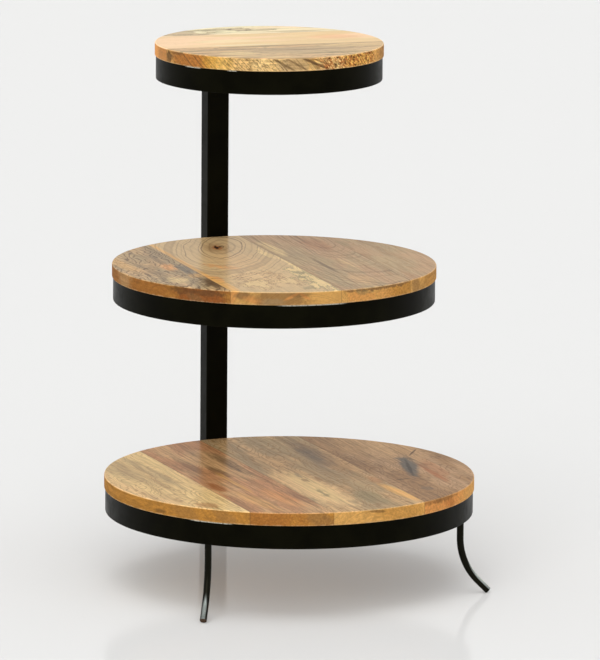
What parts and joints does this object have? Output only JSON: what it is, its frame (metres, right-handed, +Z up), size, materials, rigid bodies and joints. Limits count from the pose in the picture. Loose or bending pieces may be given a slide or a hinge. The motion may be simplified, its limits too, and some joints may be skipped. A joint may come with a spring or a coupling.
{
  "type": "tiered side table",
  "caption": "Tiered side table: round wooden tops on black flat-bar hoops, cantilevered from a rear post, with bent rod legs.",
  "frame": {"origin": "on the floor, at the middle of the foot of the post", "axes": "+Z up along the post; -Y is the front, the way the tiers stand out from the post; +X to the right as seen from the front"},
  "size_m": [0.508, 0.5315, 0.735],
  "materials": {
    "black_steel": "satin black powder coat",
    "wood": "satin varnish",
    "black_plastic": "matte",
    "zinc_screw": "zinc plated"
  },
  "bodies": {
    "root": {"post": "black_steel", "post_top_plug": "black_plastic", "post_foot_glide": "black_plastic", "bottom_hoop": "black_steel", "middle_hoop": "black_steel", "top_hoop": "black_steel", "bottom_bar_front": "black_steel", "bottom_bar_rear": "black_steel", "middle_bar_front": "black_steel", "middle_bar_rear": "black_steel", "top_bar_right": "black_steel", "top_bar_left": "black_steel", "left_leg": "black_steel", "right_leg": "black_steel", "leg_welds": "black_steel", "bottom_post_welds": "black_steel", "bottom_bar_welds": "black_steel", "middle_post_welds": "black_steel", "middle_bar_welds": "black_steel", "top_post_welds": "black_steel", "top_bar_welds": "black_steel", "bottom_board_1": "wood", "bottom_board_2": "wood", "bottom_board_3": "wood", "bottom_board_4": "wood", "middle_board_1": "wood", "middle_board_2": "wood", "middle_board_3": "wood", "middle_board_4": "wood", "top_board_1": "wood", "top_board_2": "wood", "top_board_3": "wood", "bottom_tier_screws": "zinc_screw", "middle_tier_screws": "zinc_screw", "top_tier_screws": "zinc_screw"}
  },
  "joints": []
}
